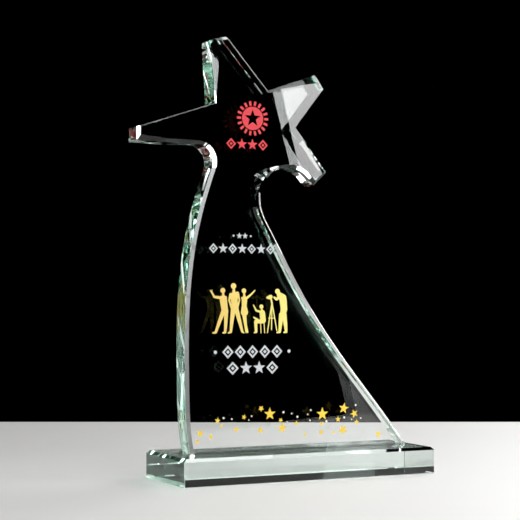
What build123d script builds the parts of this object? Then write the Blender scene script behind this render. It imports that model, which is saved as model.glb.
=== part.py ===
from build123d import *

import math
import os

# Star trophy: a leaning glass star with a sweeping tail, bonded upright on a bevelled glass base.
#
# Millimetres, +Z up.  The origin is the centre of the base's underside, +X runs along the base to the
# foot's wide side and the printed face looks towards -Y.

# ---------------------------------------------------------------- driving dimensions
# base block
base_length = 206.0
base_depth = 74.0
base_height = 20.0
base_bevel = 2.2          # polished bevel round the top face
base_arris = 0.5          # seamed edge on the corners and round the underside

# clear film that bonds the plate to the base
bond_thickness = 0.1

# star plate
plate_thickness = 20.0
plate_bevel = 2.2         # polished bevel on both faces, along the tail, the arch and the tips
arm_bevel = 0.8           # slimmer bevel on the straight sides of the arms
facet_tilt = 28.0         # degrees from the front face to the long facet that widens along each arm
left_facet_width = 4.4    # widths of the long facets where they reach the tips
top_facet_width = 7.2
upper_right_facet_width = 6.3
lower_right_facet_width = 4.2
foot_left = -86.0         # ends of the plate's foot along X
foot_right = 95.0

# heights of the outline's features above the underside of the base
tail_bulge_height = 66.0
tail_waist_height = 183.0
armpit_top = 245.4        # underside of the left arm
armpit_radius = 12.8
armpit_offset = 13.9      # from the notch above the left arm back to the centre of the armpit
armpit_exit_angle = -20.0  # degrees round the armpit where the tail starts
arch_top = 230.9          # crown of the arch under the right arms
tip_top = 325.5

# reach of the outline's features along X
left_arm_reach = -128.2
right_arm_reach = 25.5
notch_left_arm = (-67.6, 276.0)
notch_right_arm = (-24.6, 287.3)
notch_between_right_arms = (-1.3, 260.8)

# cut-off tips of the arms: their corners as x and height, clockwise from the left arm
left_tip_height = 9.9
left_tip = [(left_arm_reach, armpit_top), (left_arm_reach, armpit_top + left_tip_height)]
top_tip = [(-70.3, tip_top - 3.2), (-58.4, tip_top)]
upper_right_tip = [(16.0, 302.4), (right_arm_reach - 2.5, 292.0)]
lower_right_tip = [(right_arm_reach, 228.6), (14.2, 218.2)]

# curved sides: points as x and height, and the directions in which the foot's corners are met
arch_crown = (-8.0, arch_top)
arch_exit = (-30.2, 206.0)
left_side_points = [(foot_left - 4.3, tail_bulge_height), (foot_left + 3.0, tail_waist_height)]
right_side_points = [(-23.6, 187.0), (7.3, 133.0), (foot_right - 45.0, 75.5)]
foot_left_rise = (-0.25, 1)
foot_right_fall = (0.75, -1)
arch_exit_fall = (0.03, -1)

# prints on the front face: places are x and height
print_thickness = 0.1
emblem_centre = (-37.5, 266.0)
emblem_radius = 12.8
emblem_row_centre = -42.0
emblem_row_height = 8.2
emblem_row_gap = 2.6      # clear glass between the medal and the row under it
ray_count = 18
upper_rows_centre = -46.0
lower_rows_centre = -37.5
crew_floor = 107.0        # ground line of the gold figures
star_waist = 0.42         # inner radius of a printed star, as a share of its outer radius

# ---------------------------------------------------------------- shared planes
plate_foot_height = base_height + bond_thickness
front_face = Plane.XZ.offset(plate_thickness / 2)
back_face = Plane.XZ.offset(-plate_thickness / 2)

os.makedirs("parts", exist_ok=True)


def save(piece, name):
    """Label a finished sub-part and write it to its own file."""
    piece.part.label = name
    export_step(piece.part, f"parts/{name}.step")


# ---------------------------------------------------------------- base block
with BuildPart() as base_block:
    with BuildSketch():
        Rectangle(base_length, base_depth)
    extrude(amount=base_height)
    chamfer(base_block.edges().group_by(Axis.Z)[-1], length=base_bevel)
    upright_corners = base_block.edges().filter_by(Axis.Z)
    underside_edges = base_block.edges().group_by(Axis.Z)[0]
    chamfer(upright_corners + underside_edges, length=base_arris)
save(base_block, "base_block")

# ---------------------------------------------------------------- star plate
armpit_centre = (notch_left_arm[0] - armpit_offset, armpit_top - armpit_radius)


def on_armpit(angle):
    """Point of the armpit's round, angle degrees above level."""
    turn = math.radians(angle)
    return (
        armpit_centre[0] + armpit_radius * math.cos(turn),
        armpit_centre[1] + armpit_radius * math.sin(turn),
    )


armpit_start = on_armpit(90)
armpit_middle = on_armpit((90 + armpit_exit_angle) / 2)
armpit_exit = on_armpit(armpit_exit_angle)
armpit_exit_rise = (math.sin(math.radians(-armpit_exit_angle)), math.cos(math.radians(armpit_exit_angle)))
spare_foot = 4 * plate_bevel   # cut off after bevelling, so that the foot itself stays square
touching = 1e-3                # closer than this counts as on the same face

# straight sides of the arms, which have the slim bevel
arm_sides = [
    (armpit_start, left_tip[0]),
    (left_tip[1], notch_left_arm),
    (notch_left_arm, top_tip[0]),
    (top_tip[1], notch_right_arm),
    (notch_right_arm, upper_right_tip[0]),
    (upper_right_tip[1], notch_between_right_arms),
    (notch_between_right_arms, lower_right_tip[0]),
]

# long facets on the front: inner corner, tip corner, width at the tip
arm_facets = [
    (armpit_start, left_tip[0], left_facet_width),
    (notch_left_arm, top_tip[0], top_facet_width),
    (notch_right_arm, upper_right_tip[0], upper_right_facet_width),
    (notch_between_right_arms, lower_right_tip[0], lower_right_facet_width),
]
facet_cutter = (70.0, 24.0, 12.0)   # reach along an arm, across it, and out from the facet


def on_a_face(edge):
    """True for an edge along the front or the back face."""
    return abs(abs(edge.center().Y) - plate_thickness / 2) < touching


def on_an_arm(edge):
    """True for a straight edge along the side of an arm, whose ends a tip's bevel may have shortened."""
    if not on_a_face(edge) or edge.geom_type != GeomType.LINE:
        return False
    middles = [Vector((x0 + x1) / 2, edge.center().Y, (z0 + z1) / 2) for (x0, z0), (x1, z1) in arm_sides]
    return any((edge.center() - middle).length < plate_bevel for middle in middles)


def facet_plane(corner, tip, width):
    """Plane of a long facet: it starts at nothing at the inner corner and is width wide at the tip."""
    along = Vector(tip[0] - corner[0], 0, tip[1] - corner[1])
    outward = along.cross(Vector(0, 1, 0)).normalized()
    ridge = along - outward * width
    across = ridge.cross(Vector(0, 1, 0)).normalized()
    tilt = math.radians(facet_tilt)
    normal = Vector(0, -1, 0) * math.cos(tilt) + across * math.sin(tilt)
    origin = Vector(corner[0], -plate_thickness / 2, corner[1])
    return Plane(origin=origin, x_dir=ridge, z_dir=normal)


with BuildPart() as star_plate:
    with BuildSketch(back_face):
        with BuildLine():
            Spline(
                (foot_left, plate_foot_height),
                *left_side_points,
                armpit_exit,
                tangents=[foot_left_rise, armpit_exit_rise],
            )
            ThreePointArc(armpit_exit, armpit_middle, armpit_start)
            Polyline(
                armpit_start,
                *left_tip,
                notch_left_arm,
                *top_tip,
                notch_right_arm,
                *upper_right_tip,
                notch_between_right_arms,
                *lower_right_tip,
            )
            ThreePointArc(lower_right_tip[1], arch_crown, arch_exit)
            Spline(
                arch_exit,
                *right_side_points,
                (foot_right, plate_foot_height),
                tangents=[arch_exit_fall, foot_right_fall],
            )
            Polyline(
                (foot_right, plate_foot_height),
                (foot_right + spare_foot * foot_right_fall[0], plate_foot_height - spare_foot),
                (foot_left - spare_foot * foot_left_rise[0], plate_foot_height - spare_foot),
                (foot_left, plate_foot_height),
            )
        make_face()
    extrude(amount=plate_thickness)
    face_edges = star_plate.edges().filter_by(on_a_face)
    chamfer(face_edges - face_edges.filter_by(on_an_arm), length=plate_bevel)
    chamfer(star_plate.edges().filter_by(on_an_arm), length=arm_bevel)
    split(bisect_by=Plane.XY.offset(plate_foot_height), keep=Keep.TOP)
    for corner, tip, width in arm_facets:
        with Locations(facet_plane(corner, tip, width)):
            Box(*facet_cutter, align=(Align.MIN, Align.CENTER, Align.MIN), mode=Mode.SUBTRACT)
save(star_plate, "star_plate")

# ---------------------------------------------------------------- bond film
with BuildPart() as bond_layer:
    extrude(star_plate.faces().sort_by(Axis.Z)[0], amount=bond_thickness, dir=(0, 0, -1))
save(bond_layer, "bond_layer")


# ---------------------------------------------------------------- prints on the front face
def star_outline(radius, turn=0.0):
    """Corners of a five-pointed star about the origin, one spike turned from upright by turn degrees."""
    reaches = [radius, radius * star_waist] * 5
    angles = [math.radians(turn + 36 * step) for step in range(10)]
    return [(reach * math.sin(angle), reach * math.cos(angle)) for reach, angle in zip(reaches, angles)]


def lozenge_outline(width, height):
    """Corners of a lozenge about the origin."""
    return [(0, height / 2), (width / 2, 0), (0, -height / 2), (-width / 2, 0)]


def limb(*joints):
    """Rounded limb of a figure, drawn through its joints, each given as x, height and radius."""
    for (x0, z0, r0), (x1, z1, r1) in zip(joints, joints[1:]):
        along = math.atan2(z1 - z0, x1 - x0)
        opening = math.acos((r0 - r1) / math.dist((x0, z0), (x1, z1)))
        corners = [(x0, z0, r0, 1), (x0, z0, r0, -1), (x1, z1, r1, -1), (x1, z1, r1, 1)]
        Polygon(
            *[
                (x + r * math.cos(along + side * opening), z + r * math.sin(along + side * opening))
                for x, z, r, side in corners
            ],
            align=None,
        )
    for x, z, r in joints:
        with Locations((x, z)):
            Circle(r)


def ornament_row(centre, length, height, motifs):
    """Evenly spaced plain motifs: framed lozenges, stars and dots."""
    pitch = length / len(motifs)
    for place, motif in enumerate(motifs):
        with Locations((centre[0] + (place - (len(motifs) - 1) / 2) * pitch, centre[1])):
            if motif == "lozenge":
                Polygon(*lozenge_outline(pitch * 0.9, height), align=None)
                Polygon(*lozenge_outline(pitch * 0.55, height * 0.6), align=None, mode=Mode.SUBTRACT)
                Polygon(*lozenge_outline(pitch * 0.28, height * 0.3), align=None)
            elif motif == "star":
                Polygon(*star_outline(min(pitch, height) * 0.52), align=None)
            else:
                Circle(height * 0.13)


# red medal: a disc with a star cut out of it, in a ring of rays
with BuildPart() as emblem_print:
    with BuildSketch(front_face):
        with Locations(emblem_centre):
            Circle(emblem_radius * 0.68)
            Polygon(*star_outline(emblem_radius * 0.52), align=None, mode=Mode.SUBTRACT)
            with PolarLocations(emblem_radius * 0.87, ray_count):
                Rectangle(emblem_radius * 0.26, emblem_radius * 0.14)
    extrude(amount=print_thickness)
save(emblem_print, "emblem_print")

# ornament rows: name, centre, length, height, motifs
medal_underside = emblem_centre[1] - emblem_radius
emblem_row_place = (emblem_row_centre, medal_underside - emblem_row_gap - emblem_row_height / 2)
rows = [
    ("emblem_row_print", emblem_row_place, 34.6, emblem_row_height, ["lozenge", "star", "star", "lozenge"]),
    ("date_row_print", (upper_rows_centre, 178.7), 18.6, 5.6, ["dot", "star", "star", "dot"]),
    ("caption_row_print", (upper_rows_centre, 169.2), 54.0, 7.4, ["lozenge", "star"] * 3 + ["lozenge"]),
    ("name_row_print", (lower_rows_centre, 93.5), 70.0, 9.6, ["dot"] + ["lozenge"] * 5 + ["dot"]),
    ("team_row_print", (lower_rows_centre, 81.6), 43.0, 9.6, ["lozenge", "star", "star", "lozenge"]),
]
for row_name, row_centre, row_length, row_height, row_motifs in rows:
    with BuildPart() as row_print:
        with BuildSketch(front_face):
            ornament_row(row_centre, row_length, row_height, row_motifs)
        extrude(amount=print_thickness)
    save(row_print, row_name)

# gold figures of a film crew: limbs as x and height from the crew's ground line, with a radius
crew = {
    "waving_left_figure": [
        [(-61.6, 31.5, 1.9)],
        [(-61.4, 29.5, 0.8), (-61.2, 27.0, 1.2)],
        [(-63.2, 26.4, 1.1), (-59.4, 26.4, 1.1)],
        [(-61.2, 25.0, 2.9), (-60.0, 16.5, 2.5)],
        [(-63.4, 26.2, 1.1), (-68.4, 26.8, 0.85), (-70.6, 30.4, 0.6), (-71.6, 31.4, 0.35)],
        [(-70.6, 30.4, 0.5), (-70.2, 31.8, 0.3)],
        [(-59.4, 25.4, 1.0), (-58.7, 19.5, 0.8)],
        [(-61.0, 16.8, 1.7), (-64.6, 8.0, 1.3), (-67.2, 1.0, 0.9), (-69.4, 0.6, 0.55)],
        [(-59.0, 16.8, 1.7), (-59.2, 8.0, 1.3), (-59.7, 1.0, 0.9), (-61.4, 0.6, 0.55)],
    ],
    "tall_figure": [
        [(-53.0, 34.8, 2.1)],
        [(-52.8, 32.4, 0.9), (-52.7, 29.5, 1.3)],
        [(-55.2, 28.6, 1.1), (-49.8, 29.6, 1.1)],
        [(-52.6, 27.4, 3.0), (-52.0, 18.5, 2.2)],
        [(-55.4, 28.2, 1.1), (-56.6, 24.4, 0.7), (-54.6, 18.8, 0.75)],
        [(-49.6, 29.0, 1.1), (-48.2, 24.6, 0.6), (-49.8, 19.4, 0.75)],
        [(-53.2, 18.0, 1.9), (-54.4, 9.0, 1.4), (-55.2, 1.2, 0.9), (-57.2, 0.5, 0.5)],
        [(-50.8, 18.0, 1.9), (-48.2, 9.0, 1.4), (-45.9, 1.4, 0.9), (-44.7, 0.5, 0.5)],
    ],
    "waving_right_figure": [
        [(-44.6, 31.3, 1.8)],
        [(-44.4, 29.2, 0.8), (-44.2, 27.0, 1.0)],
        [(-46.0, 26.0, 0.9), (-42.4, 26.2, 0.9)],
        [(-44.2, 25.0, 2.2), (-44.4, 20.0, 1.9), (-44.2, 15.6, 2.9)],
        [(-42.0, 26.2, 0.9), (-38.6, 28.8, 0.65), (-35.6, 31.6, 0.45)],
        [(-43.8, 14.2, 1.1), (-43.0, 6.4, 0.8), (-41.6, 0.9, 0.6)],
        [(-45.0, 14.2, 1.1), (-43.6, 6.4, 0.8), (-42.8, 0.9, 0.6)],
    ],
    "seated_figure": [
        [(-30.3, 19.7, 1.6)],
        [(-30.1, 17.8, 0.7), (-29.8, 15.8, 1.2)],
        [(-29.6, 15.0, 2.2), (-29.0, 9.6, 2.3)],
        [(-30.8, 15.8, 0.9), (-34.6, 16.8, 0.7), (-36.8, 20.8, 0.4)],
        [(-29.6, 8.8, 1.6), (-35.0, 8.6, 1.3), (-34.6, 1.2, 1.0), (-36.0, 0.5, 0.5)],
        [(-36.6, 11.8, 0.5), (-33.6, 10.0, 0.9)],
        [(-31.0, 7.6, 0.35), (-30.6, 0.3, 0.3)],
        [(-28.2, 7.8, 0.35), (-27.6, 0.3, 0.3)],
    ],
    "camera_figure": [
        [(-17.0, 31.0, 2.0)],
        [(-15.4, 28.2, 2.2), (-12.6, 26.0, 3.0), (-11.6, 18.0, 2.7), (-12.6, 13.6, 2.3)],
        [(-14.6, 27.0, 1.2), (-18.0, 25.2, 1.0), (-19.8, 26.6, 0.7)],
        [(-13.8, 13.6, 1.9), (-14.6, 6.6, 1.5), (-15.2, 1.0, 1.0), (-17.4, 0.5, 0.55)],
        [(-11.4, 13.6, 1.9), (-10.4, 6.6, 1.5), (-9.8, 1.0, 1.0), (-11.6, 0.5, 0.55)],
    ],
    "film_camera_figure": [
        [(-23.6, 26.6, 1.5), (-22.6, 27.0, 1.5)],
        [(-25.4, 26.4, 0.9), (-24.4, 26.4, 1.2)],
        [(-22.4, 25.4, 0.6), (-21.6, 22.2, 0.8)],
        [(-21.8, 21.8, 0.45), (-25.4, 0.4, 0.4)],
        [(-21.6, 21.8, 0.45), (-22.0, 2.8, 0.4)],
        [(-21.4, 21.8, 0.45), (-17.6, 2.0, 0.4)],
        [(-24.4, 11.2, 0.35), (-19.4, 11.2, 0.35)],
    ],
}
for figure_name, limbs in crew.items():
    with BuildPart() as figure:
        with BuildSketch(front_face):
            for joints in limbs:
                limb(*[(x, crew_floor + height, radius) for x, height, radius in joints])
        extrude(amount=print_thickness)
    save(figure, figure_name)

# scattered gold stars: x, height, radius, turn
gold_stars = [
    (-30.5, 51.5, 2.5, 36), (-23.4, 47.3, 4.9, 0), (-44.5, 45.7, 2.1, 20), (-65.7, 43.8, 2.4, 8),
    (20.7, 45.8, 5.1, 0), (39.2, 49.5, 4.4, 10), (48.3, 45.2, 3.5, 50), (34.2, 41.4, 2.5, 0),
    (-14.4, 42.4, 2.0, 30), (-1.2, 39.6, 2.1, 0), (-13.2, 36.6, 4.2, 6), (38.3, 33.2, 4.3, 44),
    (19.7, 32.2, 2.6, 12), (-31.2, 35.6, 2.9, 25), (-50.8, 37.0, 2.5, 5), (-79.4, 35.2, 3.2, 15),
    (-81.6, 29.4, 2.0, 40), (-71.1, 32.4, 2.2, 0), (69.6, 28.8, 3.1, 20), (-63.2, 40.0, 1.6, 30),
    (6.0, 31.0, 1.7, 8), (50.4, 38.6, 2.2, 0), (20.0, 38.6, 2.0, 36), (30.2, 31.6, 1.6, 14),
]
with BuildPart() as gold_stars_print:
    with BuildSketch(front_face):
        for x, height, radius, turn in gold_stars:
            with Locations((x, height)):
                Polygon(*star_outline(radius, turn), align=None)
    extrude(amount=print_thickness)
save(gold_stars_print, "gold_stars_print")

# white dots between the stars: x, height, radius
white_dots = [
    (-60.9, 45.6, 0.8), (-54.3, 44.6, 0.6), (-38.3, 46.2, 0.6), (-40.6, 43.4, 0.5), (-12.1, 48.2, 0.8),
    (-5.2, 47.0, 0.6), (-0.4, 44.4, 0.8), (-9.0, 41.0, 0.5), (8.3, 45.9, 0.6), (10.9, 49.0, 0.7),
    (24.2, 40.2, 0.8), (10.2, 41.4, 0.6), (39.6, 42.6, 0.8), (46.0, 40.9, 0.5), (49.6, 51.6, 0.7),
    (54.0, 41.6, 0.6), (-22.0, 40.4, 0.6), (28.6, 37.2, 0.5),
]
with BuildPart() as white_dots_print:
    with BuildSketch(front_face):
        for x, height, radius in white_dots:
            with Locations((x, height)):
                Circle(radius)
    extrude(amount=print_thickness)
save(white_dots_print, "white_dots_print")
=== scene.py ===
import math

import bmesh
import bpy
from bpy.props import FloatProperty, FloatVectorProperty, IntProperty, PointerProperty, StringProperty
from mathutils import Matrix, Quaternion, Vector


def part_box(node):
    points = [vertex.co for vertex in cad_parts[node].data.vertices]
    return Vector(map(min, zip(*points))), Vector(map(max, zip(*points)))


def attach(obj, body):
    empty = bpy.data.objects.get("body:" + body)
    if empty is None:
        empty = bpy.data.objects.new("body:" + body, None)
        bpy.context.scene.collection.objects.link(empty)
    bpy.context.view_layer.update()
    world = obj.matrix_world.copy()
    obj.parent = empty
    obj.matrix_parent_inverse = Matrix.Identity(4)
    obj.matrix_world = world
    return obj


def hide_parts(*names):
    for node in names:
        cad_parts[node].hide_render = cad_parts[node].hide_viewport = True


bl_info = {
    "name": "Star Trophy",
    "version": (1, 0, 0),
    "blender": (4, 5, 0),
    "location": "View3D > Sidebar > Star Trophy",
    "description": "Dresses the packed star trophy in cut glass, inks and gold foil",
    "category": "Object",
}

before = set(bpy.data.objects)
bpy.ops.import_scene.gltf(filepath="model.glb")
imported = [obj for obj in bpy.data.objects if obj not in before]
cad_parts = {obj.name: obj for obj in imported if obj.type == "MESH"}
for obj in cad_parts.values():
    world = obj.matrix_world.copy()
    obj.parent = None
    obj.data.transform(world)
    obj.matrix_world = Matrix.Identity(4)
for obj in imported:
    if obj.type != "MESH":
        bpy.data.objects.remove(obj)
MM = 0.001
BODY = "root"
CROWN_GLASS = "crown_glass_polished"
MERGE_DISTANCE = 0.001 * MM
SENSOR_WIDTH = 36  # in the millimetres that a Blender camera is set in
# the stretch of a noise texture's output that most of its points lie in
NOISE_LOW, NOISE_HIGH = 0.3, 0.7

RED_PRINTS = ("emblem_print", "emblem_row_print")
FROSTED_PRINTS = ("date_row_print", "caption_row_print", "name_row_print", "team_row_print")
CREW_PRINTS = (
    "waving_left_figure",
    "tall_figure",
    "waving_right_figure",
    "seated_figure",
    "camera_figure",
    "film_camera_figure",
)


# ---------------------------------------------------------------- sizes and colours a user would change
class GlassSettings(bpy.types.PropertyGroup):
    """The glass of the plate and the base."""

    ior: FloatProperty(
        name="Index of refraction",
        description="How strongly the crown glass bends light",
        default=1.52,
        min=1.3,
        max=1.9,
    )
    tint: StringProperty(
        name="Tint",
        description="Colour of white light after one tint depth of glass, as sRGB hex",
        default="#E0F7EF",
    )
    tint_depth: FloatProperty(
        name="Tint depth",
        description="Thickness of glass that gives the tint",
        default=0.15,
        unit="LENGTH",
    )
    wave_length: FloatProperty(
        name="Polishing wave",
        description="Distance between the faint waves that polishing leaves in the glass",
        default=9 * MM,
        unit="LENGTH",
    )
    wave_height: FloatProperty(
        name="Polishing wave height",
        description="Height of the faint waves that polishing leaves in the glass",
        default=0.004 * MM,
        unit="LENGTH",
    )
    crease_angle: FloatProperty(
        name="Crease angle",
        description="Edges that turn by more than this are cut corners, the rest is one flowing wall",
        default=math.radians(12),
        subtype="ANGLE",
    )
    contact_overlap: FloatProperty(
        name="Contact overlap",
        description="How far bonded surfaces pass into each other, so that no air shows between them",
        default=0.05 * MM,
        unit="LENGTH",
    )


class PrintSettings(bpy.types.PropertyGroup):
    """The inks and foils on the front face."""

    red: StringProperty(
        name="Red ink",
        description="Ink of the medal and the motifs under it, as sRGB hex",
        default="#E8303C",
    )
    frosted: StringProperty(
        name="Silver-white ink",
        description="Matt ink of the plain rows, as sRGB hex",
        default="#D4DADD",
    )
    white: StringProperty(
        name="White ink", description="Ink of the dots, as sRGB hex", default="#F4F2E6"
    )
    gold_left: StringProperty(
        name="Gold, left",
        description="Foil colour at the left of the crew, as sRGB hex",
        default="#FFD876",
    )
    gold_right: StringProperty(
        name="Gold, right",
        description="Foil colour at the right of the crew, as sRGB hex",
        default="#FFF684",
    )
    stars_gold: StringProperty(
        name="Gold of the stars",
        description="Foil colour of the scattered stars, as sRGB hex",
        default="#FFDA42",
    )
    # painted shade: the side of a print that faces into the glass is drawn darker, at this share of its
    # outer side's brightness
    underside: FloatProperty(
        name="Underside",
        description="How bright the side of a print that faces into the glass is, against its outer side",
        default=0.5,
        min=0.0,
        max=1.0,
    )
    grain: FloatProperty(
        name="Ink grain",
        description="Size of the speckle that the printing screen leaves",
        default=0.6 * MM,
        unit="LENGTH",
    )


class StageSettings(bpy.types.PropertyGroup):
    """The table, the lights and the camera."""

    table_colour: StringProperty(
        name="Table", description="Colour of the table top, as sRGB hex", default="#E9E8E6"
    )
    table_behind: FloatProperty(
        name="Table behind",
        description="How far the table reaches behind the trophy",
        default=0.48,
        unit="LENGTH",
    )
    table_front: FloatProperty(
        name="Table in front",
        description="How far the table reaches in front of the trophy",
        default=0.30,
        unit="LENGTH",
    )
    table_left: FloatProperty(
        name="Table to the left",
        description="How far the table reaches to the left",
        default=0.325,
        unit="LENGTH",
    )
    table_right: FloatProperty(
        name="Table to the right",
        description="How far the table reaches to the right",
        default=0.7,
        unit="LENGTH",
    )
    table_gap: FloatProperty(
        name="Air under the base",
        description="Thin air gap that keeps the underside of the base mirroring",
        default=0.2 * MM,
        unit="LENGTH",
    )
    light_bounces: IntProperty(
        name="Light bounces",
        description="How often light may turn inside the glass before it is given up",
        default=64,
        min=8,
        max=256,
    )
    lens: FloatProperty(
        name="Lens", description="Focal length on a 36 mm sensor", default=96.9, unit="CAMERA"
    )
    camera_place: FloatVectorProperty(
        name="Camera place",
        description="Where the camera stands",
        default=(-0.4821, -0.9422, 0.1281),
        unit="LENGTH",
    )
    camera_turn: FloatProperty(
        name="Camera turn",
        description="How far the camera looks to the right of +Y",
        default=math.radians(25.8),
        subtype="ANGLE",
    )
    camera_rise: FloatProperty(
        name="Camera rise",
        description="How far the camera looks above level",
        default=math.radians(1.83),
        subtype="ANGLE",
    )


SETTINGS = {"trophy_glass": GlassSettings, "trophy_prints": PrintSettings, "trophy_stage": StageSettings}


# ---------------------------------------------------------------- materials
def linear(hex_colour):
    """sRGB hex as linear red, green, blue and alpha 1."""
    channels = [int(hex_colour[place:place + 2], 16) / 255 for place in (1, 3, 5)]
    return [c / 12.92 if c <= 0.04045 else ((c + 0.055) / 1.055) ** 2.4 for c in channels] + [1.0]


def add_node(tree, kind, settings=(), inputs=(), links=()):
    """Add a node, set its own settings and its sockets, and link what feeds it."""
    node = tree.nodes.new(kind)
    for name, value in dict(settings).items():
        setattr(node, name, value)
    for name, value in dict(inputs).items():
        node.inputs[name].default_value = value
    for name, socket in dict(links).items():
        tree.links.new(socket, node.inputs[name])
    return node


def new_material(name):
    """An empty node material and its tree."""
    material = bpy.data.materials.new(name)
    material.use_nodes = True
    material.node_tree.nodes.clear()
    return material, material.node_tree


def crown_glass():
    """Optical crown glass, cut and belt polished: clear face on, faintly green along its length."""
    made = bpy.data.materials.get(CROWN_GLASS)
    if made:
        return made
    glass = bpy.context.scene.trophy_glass
    material, tree = new_material(CROWN_GLASS)
    place = add_node(tree, "ShaderNodeTexCoord")
    # polishing leaves long low waves over every surface of the glass
    waves = add_node(
        tree,
        "ShaderNodeTexNoise",
        inputs={"Scale": 1 / glass.wave_length, "Detail": 1.0, "Roughness": 0.4},
        links={"Vector": place.outputs["Object"]},
    )
    bump = add_node(
        tree,
        "ShaderNodeBump",
        inputs={"Strength": 1.0, "Distance": glass.wave_height},
        links={"Height": waves.outputs["Fac"]},
    )
    shader = add_node(
        tree,
        "ShaderNodeBsdfPrincipled",
        inputs={
            "Base Color": (1, 1, 1, 1),
            "Roughness": 0.0,
            "IOR": glass.ior,
            "Transmission Weight": 1.0,
        },
        links={"Normal": bump.outputs["Normal"]},
    )
    depth = add_node(
        tree,
        "ShaderNodeVolumeAbsorption",
        inputs={"Color": linear(glass.tint), "Density": 1 / glass.tint_depth},
    )
    add_node(
        tree,
        "ShaderNodeOutputMaterial",
        links={"Surface": shader.outputs["BSDF"], "Volume": depth.outputs["Volume"]},
    )
    return material


def cured_adhesive():
    """Clear cured adhesive, with the faint swirls that its spreading leaves."""
    swirl_size = 2 * MM
    swirl_height = 0.002 * MM
    # the film lies within the glass of the foot, which already bends the light, so it adds next to none
    film_ior = 1.01
    material, tree = new_material("cured_clear_adhesive")
    place = add_node(tree, "ShaderNodeTexCoord")
    swirl = add_node(
        tree,
        "ShaderNodeTexNoise",
        inputs={"Scale": 1 / swirl_size, "Detail": 2.0},
        links={"Vector": place.outputs["Object"]},
    )
    bump = add_node(
        tree,
        "ShaderNodeBump",
        inputs={"Strength": 0.3, "Distance": swirl_height},
        links={"Height": swirl.outputs["Fac"]},
    )
    shader = add_node(
        tree,
        "ShaderNodeBsdfPrincipled",
        inputs={
            "Base Color": linear("#F4FBF8"),
            "Roughness": 0.0,
            "IOR": film_ior,
            "Transmission Weight": 1.0,
        },
        links={"Normal": bump.outputs["Normal"]},
    )
    add_node(tree, "ShaderNodeOutputMaterial", links={"Surface": shader.outputs["BSDF"]})
    return material


def ink(name, start, end=None, span=(0.0, 1.0), roughness=0.5, speckle_depth=0.06):
    """Screen-printed ink or foil: an even film with a fine speckle, in one colour or running between two,
    with painted shade on the side that faces into the glass.
    """
    roughness_spread = 0.06
    grain_height = 0.01 * MM
    prints = bpy.context.scene.trophy_prints
    material, tree = new_material(name)
    place = add_node(tree, "ShaderNodeTexCoord")
    grain = add_node(
        tree,
        "ShaderNodeTexNoise",
        inputs={"Scale": 1 / prints.grain, "Detail": 3.0, "Roughness": 0.6},
        links={"Vector": place.outputs["Object"]},
    )
    apart = add_node(tree, "ShaderNodeSeparateXYZ", links={"Vector": place.outputs["Object"]})
    along = add_node(
        tree,
        "ShaderNodeMapRange",
        inputs={"From Min": span[0], "From Max": span[1]},
        links={"Value": apart.outputs["X"]},
    )
    run = add_node(tree, "ShaderNodeValToRGB", links={"Fac": along.outputs["Result"]})
    run.color_ramp.elements[0].color = linear(start)
    run.color_ramp.elements[1].color = linear(end or start)
    speckle = add_node(
        tree,
        "ShaderNodeMapRange",
        inputs={"From Min": NOISE_LOW, "From Max": NOISE_HIGH, "To Min": 1 - speckle_depth},
        links={"Value": grain.outputs["Fac"]},
    )
    colour = add_node(
        tree,
        "ShaderNodeHueSaturation",
        links={"Color": run.outputs["Color"], "Value": speckle.outputs["Result"]},
    )
    # painted shade: the side that faces into the glass is drawn darker, so that its reflections in the glass
    # stay faint
    facing = add_node(tree, "ShaderNodeSeparateXYZ", links={"Vector": place.outputs["Normal"]})
    painted_underside_shade = add_node(
        tree,
        "ShaderNodeMapRange",
        inputs={"To Min": 1.0, "To Max": prints.underside},
        links={"Value": facing.outputs["Y"]},
    )
    shown = add_node(
        tree,
        "ShaderNodeHueSaturation",
        links={"Color": colour.outputs["Color"], "Value": painted_underside_shade.outputs["Result"]},
    )
    matt = add_node(
        tree,
        "ShaderNodeMapRange",
        inputs={
            "From Min": NOISE_LOW,
            "From Max": NOISE_HIGH,
            "To Min": roughness - roughness_spread,
            "To Max": roughness + roughness_spread,
        },
        links={"Value": grain.outputs["Fac"]},
    )
    bump = add_node(
        tree,
        "ShaderNodeBump",
        inputs={"Strength": 0.4, "Distance": grain_height},
        links={"Height": grain.outputs["Fac"]},
    )
    shader = add_node(
        tree,
        "ShaderNodeBsdfPrincipled",
        links={
            "Base Color": shown.outputs["Color"],
            "Roughness": matt.outputs["Result"],
            "Normal": bump.outputs["Normal"],
        },
    )
    add_node(tree, "ShaderNodeOutputMaterial", links={"Surface": shader.outputs["BSDF"]})
    return material


def table_paint():
    """Matt white laminate of the table top: soft, with a barely visible mottle."""
    mottle_size = 40 * MM
    mottle_depth = 0.015
    stage = bpy.context.scene.trophy_stage
    material, tree = new_material("matt_white_laminate")
    place = add_node(tree, "ShaderNodeTexCoord")
    mottle = add_node(
        tree,
        "ShaderNodeTexNoise",
        inputs={"Scale": 1 / mottle_size, "Detail": 2.0},
        links={"Vector": place.outputs["Object"]},
    )
    value = add_node(
        tree,
        "ShaderNodeMapRange",
        inputs={"To Min": 1 - mottle_depth},
        links={"Value": mottle.outputs["Fac"]},
    )
    colour = add_node(
        tree,
        "ShaderNodeHueSaturation",
        inputs={"Color": linear(stage.table_colour)},
        links={"Value": value.outputs["Result"]},
    )
    shader = add_node(
        tree,
        "ShaderNodeBsdfPrincipled",
        inputs={"Roughness": 0.6},
        links={"Base Color": colour.outputs["Color"]},
    )
    add_node(tree, "ShaderNodeOutputMaterial", links={"Surface": shader.outputs["BSDF"]})
    return material


# ---------------------------------------------------------------- meshes
def merged_copy(node):
    """A bmesh of a CAD node's mesh, with its loose triangles merged."""
    shape = bmesh.new()
    shape.from_mesh(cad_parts[node].data)
    bmesh.ops.remove_doubles(shape, verts=shape.verts, dist=MERGE_DISTANCE)
    return shape


def crease(shape, angle):
    """Smooth flowing walls and sharp cut corners."""
    for face in shape.faces:
        face.smooth = True
    for edge in shape.edges:
        edge.smooth = len(edge.link_faces) == 2 and edge.calc_face_angle() < angle


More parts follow.
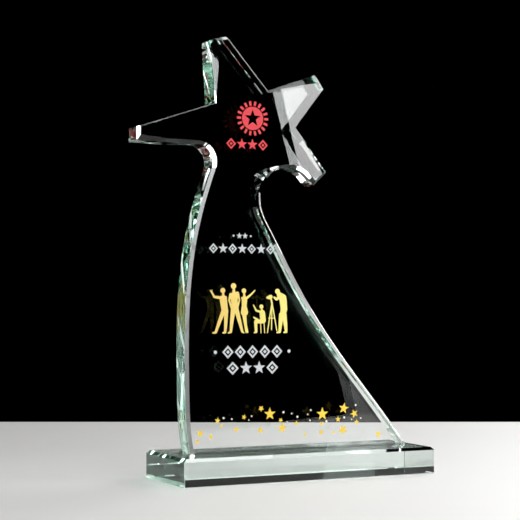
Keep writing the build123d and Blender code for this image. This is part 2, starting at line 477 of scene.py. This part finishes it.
def new_piece(name, shape, material, nodes):
    """Turn a bmesh into a finished piece that rides on the trophy and stands for CAD nodes."""
    mesh = bpy.data.meshes.new(name)
    shape.to_mesh(mesh)
    shape.free()
    mesh.materials.append(material)
    piece = bpy.data.objects.new(name, mesh)
    bpy.context.scene.collection.objects.link(piece)
    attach(piece, BODY)
    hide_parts(*nodes)


def printed_layer(node, name, material):
    """A print whose back passes a little into the glass, so that it also shows from inside."""
    overlap = bpy.context.scene.trophy_glass.contact_overlap
    front_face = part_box("star_plate")[0].y
    shape = merged_copy(node)
    for vert in shape.verts:
        if vert.co.y > front_face - overlap:
            vert.co.y = front_face + overlap
    new_piece(name, shape, material, [node])


# ---------------------------------------------------------------- operators
class TROPHY_OT_glass_plate(bpy.types.Operator):
    """Build the star plate with flowing polished walls, bonded to the base without air between them"""

    bl_idname = "trophy.glass_plate"
    bl_label = "Glass plate"

    def execute(self, context):
        glass = context.scene.trophy_glass
        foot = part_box("star_plate")[0].z
        bond_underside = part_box("bond_layer")[0].z
        shape = merged_copy("star_plate")
        # the foot reaches down through the film and just into the block
        for vert in shape.verts:
            if vert.co.z < foot + glass.contact_overlap:
                vert.co.z = bond_underside - glass.contact_overlap
        crease(shape, glass.crease_angle)
        new_piece("cut_star_plate", shape, crown_glass(), ["star_plate"])
        return {"FINISHED"}


class TROPHY_OT_base_block(bpy.types.Operator):
    """Give the base block its glass"""

    bl_idname = "trophy.base_block"
    bl_label = "Base block"

    def execute(self, context):
        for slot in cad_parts["base_block"].material_slots:
            slot.material = crown_glass()
        return {"FINISHED"}


class TROPHY_OT_bond_film(bpy.types.Operator):
    """Build the film of adhesive between the plate and the base"""

    bl_idname = "trophy.bond_film"
    bl_label = "Bond film"

    def execute(self, context):
        overlap = context.scene.trophy_glass.contact_overlap
        lowest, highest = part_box("bond_layer")
        shape = merged_copy("bond_layer")
        middle = (lowest.z + highest.z) / 2
        for vert in shape.verts:
            # the underside stays just clear of the block's own top face
            vert.co.z = highest.z + overlap if vert.co.z > middle else lowest.z + overlap / 2
        new_piece("cured_bond_film", shape, cured_adhesive(), ["bond_layer"])
        return {"FINISHED"}


class TROPHY_OT_red_prints(bpy.types.Operator):
    """Print the red medal and the row of motifs under it"""

    bl_idname = "trophy.red_prints"
    bl_label = "Red prints"

    def execute(self, context):
        paint = ink("red_screen_ink", context.scene.trophy_prints.red)
        for node in RED_PRINTS:
            printed_layer(node, node.replace("print", "ink"), paint)
        return {"FINISHED"}


class TROPHY_OT_frosted_prints(bpy.types.Operator):
    """Print the silver-white rows of motifs"""

    bl_idname = "trophy.frosted_prints"
    bl_label = "Silver-white prints"

    def execute(self, context):
        paint = ink("silver_white_screen_ink", context.scene.trophy_prints.frosted, speckle_depth=0.14)
        for node in FROSTED_PRINTS:
            printed_layer(node, node.replace("print", "ink"), paint)
        return {"FINISHED"}


class TROPHY_OT_gold_prints(bpy.types.Operator):
    """Lay the gold foil of the crew and of the scattered stars"""

    bl_idname = "trophy.gold_prints"
    bl_label = "Gold prints"

    def execute(self, context):
        prints = context.scene.trophy_prints
        crew_span = (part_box(CREW_PRINTS[0])[0].x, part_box("camera_figure")[1].x)
        foil = ink("satin_gold_foil", prints.gold_left, prints.gold_right, crew_span, roughness=0.4)
        for node in CREW_PRINTS:
            printed_layer(node, node.replace("figure", "foil"), foil)
        stars_foil = ink("satin_star_foil", prints.stars_gold, roughness=0.4)
        printed_layer("gold_stars_print", "gold_stars_foil", stars_foil)
        return {"FINISHED"}


class TROPHY_OT_white_prints(bpy.types.Operator):
    """Print the white dots between the stars"""

    bl_idname = "trophy.white_prints"
    bl_label = "White prints"

    def execute(self, context):
        paint = ink("white_screen_ink", context.scene.trophy_prints.white)
        printed_layer("white_dots_print", "white_dots_ink", paint)
        return {"FINISHED"}


def softbox(name, place, target, size, power, roll=0.0, foot_glow=1.0):
    """A rectangular soft light aimed at a point and rolled about its aim; it may dim towards its foot."""
    lamp = bpy.data.lights.new(name, "AREA")
    lamp.shape = "RECTANGLE"
    lamp.size, lamp.size_y = size
    lamp.energy = power
    lamp.use_nodes = True
    tree = lamp.node_tree
    tree.nodes.clear()
    surface = add_node(tree, "ShaderNodeNewGeometry")
    apart = add_node(tree, "ShaderNodeSeparateXYZ", links={"Vector": surface.outputs["Parametric"]})
    glow = add_node(
        tree,
        "ShaderNodeMapRange",
        settings={"interpolation_type": "SMOOTHSTEP"},
        inputs={"To Min": foot_glow},
        links={"Value": apart.outputs["Y"]},
    )
    shine = add_node(tree, "ShaderNodeEmission", links={"Strength": glow.outputs["Result"]})
    add_node(tree, "ShaderNodeOutputLight", links={"Surface": shine.outputs["Emission"]})
    holder = bpy.data.objects.new(name, lamp)
    bpy.context.scene.collection.objects.link(holder)
    aim = (Vector(target) - Vector(place)).to_track_quat("-Z", "Y")
    holder.location = place
    holder.rotation_euler = (aim @ Quaternion((0, 0, 1), roll)).to_euler()
    holder.visible_camera = False


def trophy_lights():
    """The soft lights, each placed for the surfaces that mirror it or that it falls on."""
    # mirrored in both faces of the plate, in the right arms and at the lower right of the tail, and in the
    # facet of the top arm; it falls on the prints too
    softbox(
        "front_right_softbox",
        place=(0.614, -0.607, 0.257),
        target=(0.145, 0.276, 0.257),
        size=(0.5, 0.56),
        power=10,
        roll=math.radians(13),
        foot_glow=0.04,
    )
    # a dim card, mirrored in the bevel down the left side
    softbox(
        "right_card",
        place=(0.816, 0.66, 0.13),
        target=(0, 0, 0.13),
        size=(0.4, 0.46),
        power=0.3,
        foot_glow=0.35,
    )
    # mirrored in the front bevel along the right edges of the tail and the top arm, and at the left tip
    softbox(
        "right_softbox",
        place=(0.94, 0.46, 0.64),
        target=(0, 0, 0.64),
        size=(0.85, 0.84),
        power=7.2,
    )
    # mirrored in the bevel along the front of the base's top
    softbox(
        "back_high_softbox",
        place=(0.78, 1.31, 1.02),
        target=(0, 0, 0),
        size=(0.5, 0.2),
        power=0.3,
    )
    # falls on the table, and is mirrored along the top of the left arm; its aim is a hair off straight
    # down, so that its turn is defined
    softbox(
        "high_softbox",
        place=(0, 0, 1.3),
        target=(0, 0.001, 0),
        size=(1.2, 0.8),
        power=6.8,
    )
    # falls on the prints and the table
    softbox(
        "front_high_softbox",
        place=(0.05, -0.85, 1.0),
        target=(0, 0, 0.1),
        size=(0.5, 0.4),
        power=6.5,
    )


class TROPHY_OT_stage(bpy.types.Operator):
    """Set the pale table, the soft lights and the camera"""

    bl_idname = "trophy.stage"
    bl_label = "Stage"

    def execute(self, context):
        scene = context.scene
        stage = scene.trophy_stage

        ahead = Vector((math.sin(stage.camera_turn), math.cos(stage.camera_turn), 0))
        aside = Vector((ahead.y, -ahead.x, 0))
        corners = [
            ahead * depth + aside * width
            for depth, width in (
                (-stage.table_front, -stage.table_left),
                (-stage.table_front, stage.table_right),
                (stage.table_behind, stage.table_right),
                (stage.table_behind, -stage.table_left),
            )
        ]
        top = bmesh.new()
        top.faces.new([top.verts.new((corner.x, corner.y, -stage.table_gap)) for corner in corners])
        mesh = bpy.data.meshes.new("table_top")
        top.to_mesh(mesh)
        top.free()
        mesh.materials.append(table_paint())
        table = bpy.data.objects.new("table_top", mesh)
        scene.collection.objects.link(table)

        trophy_lights()

        world = bpy.data.worlds.new("dark_room")
        world.use_nodes = True
        world.node_tree.nodes["Background"].inputs["Color"].default_value = (0, 0, 0, 1)
        scene.world = world

        camera = bpy.data.cameras.new("camera")
        camera.lens = stage.lens
        camera.sensor_width = SENSOR_WIDTH
        camera.clip_start = 10 * MM
        holder = bpy.data.objects.new("camera", camera)
        holder.location = stage.camera_place
        holder.rotation_euler = (math.pi / 2 + stage.camera_rise, 0, -stage.camera_turn)
        scene.collection.objects.link(holder)
        scene.camera = holder

        scene.view_settings.view_transform = "Standard"
        scene.cycles.max_bounces = stage.light_bounces
        scene.cycles.transmission_bounces = stage.light_bounces
        scene.cycles.glossy_bounces = stage.light_bounces
        scene.cycles.blur_glossy = 0
        return {"FINISHED"}


PIECE_OPERATORS = (
    TROPHY_OT_glass_plate,
    TROPHY_OT_base_block,
    TROPHY_OT_bond_film,
    TROPHY_OT_red_prints,
    TROPHY_OT_frosted_prints,
    TROPHY_OT_gold_prints,
    TROPHY_OT_white_prints,
    TROPHY_OT_stage,
)


class TROPHY_PT_panel(bpy.types.Panel):
    """Lists the settings and the steps in order"""

    bl_idname = "TROPHY_PT_panel"
    bl_label = "Star Trophy"
    bl_space_type = "VIEW_3D"
    bl_region_type = "UI"
    bl_category = "Star Trophy"

    def draw(self, context):
        for group_name, settings in SETTINGS.items():
            rows = self.layout.box()
            for name in settings.__annotations__:
                rows.prop(getattr(context.scene, group_name), name)
        for step in PIECE_OPERATORS:
            self.layout.operator(step.bl_idname)


def register():
    for settings in SETTINGS.values():
        bpy.utils.register_class(settings)
    for name, settings in SETTINGS.items():
        setattr(bpy.types.Scene, name, PointerProperty(type=settings))
    for step in (*PIECE_OPERATORS, TROPHY_PT_panel):
        bpy.utils.register_class(step)


def unregister():
    for step in (TROPHY_PT_panel, *reversed(PIECE_OPERATORS)):
        bpy.utils.unregister_class(step)
    for name in SETTINGS:
        delattr(bpy.types.Scene, name)
    for settings in SETTINGS.values():
        bpy.utils.unregister_class(settings)


def main():
    """Build everything."""
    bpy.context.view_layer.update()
    register()
    bpy.ops.trophy.glass_plate()
    bpy.ops.trophy.base_block()
    bpy.ops.trophy.bond_film()
    bpy.ops.trophy.red_prints()
    bpy.ops.trophy.frosted_prints()
    bpy.ops.trophy.gold_prints()
    bpy.ops.trophy.white_prints()
    bpy.ops.trophy.stage()


if __name__ == "__main__":
    main()
